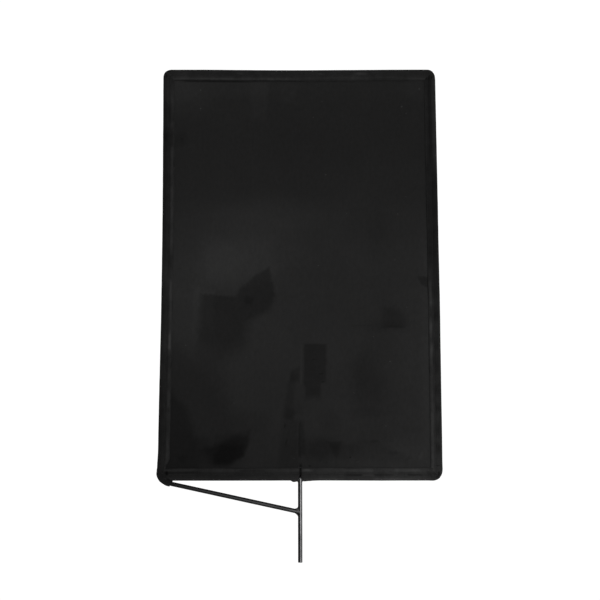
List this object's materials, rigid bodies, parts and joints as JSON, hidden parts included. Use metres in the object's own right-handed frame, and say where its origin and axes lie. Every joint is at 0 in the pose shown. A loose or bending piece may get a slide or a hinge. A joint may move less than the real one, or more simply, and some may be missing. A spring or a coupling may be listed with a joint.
{
  "type": "grip flag",
  "caption": "Solid black cloth flag on a welded rod frame with a mounting pin and a diagonal brace, for blocking light on a film set.",
  "frame": {"origin": "centre of the mounting pin's flat free end", "axes": "+Z along the mounting pin towards the flag's top rail, +X to the right in the picture, the flag lies in the XZ plane with the pictured side facing -Y, and the brace is on the -X side"},
  "size_m": [0.6149, 0.0122, 1.0904],
  "materials": {
    "frame_paint": "satin black, rubbed along the brace",
    "pin_steel": "bare drawn steel, darkened and scuffed from grip heads",
    "weld_metal": "rippled weld bead under thin black paint",
    "black_cloth": "napped matte black cotton",
    "black_thread": "waxed black sewing thread"
  },
  "bodies": {
    "root": {"left_rod": "frame_paint", "top_rod": "frame_paint", "right_rod": "frame_paint", "bottom_rod": "frame_paint", "brace_rod": "frame_paint", "mounting_pin": "pin_steel", "weld_top_left": "weld_metal", "weld_top_right": "weld_metal", "weld_bottom_right": "weld_metal", "weld_brace_end": "weld_metal", "weld_brace_pin": "weld_metal", "weld_pin_rail": "weld_metal", "weld_rail_corner": "weld_metal", "fabric_panel": "black_cloth", "sleeve_left": "black_cloth", "sleeve_top": "black_cloth", "sleeve_right": "black_cloth", "sleeve_bottom_left": "black_cloth", "sleeve_bottom_right": "black_cloth", "seam_edge_left": "black_thread", "seam_edge_top": "black_thread", "seam_edge_right": "black_thread", "seam_edge_bottom_left": "black_thread", "seam_edge_bottom_right": "black_thread", "seam_rod_left": "black_thread", "seam_rod_top": "black_thread", "seam_rod_right": "black_thread", "seam_rod_bottom_left": "black_thread", "seam_rod_bottom_right": "black_thread", "slit_bar_tack": "black_thread"}
  },
  "joints": []
}
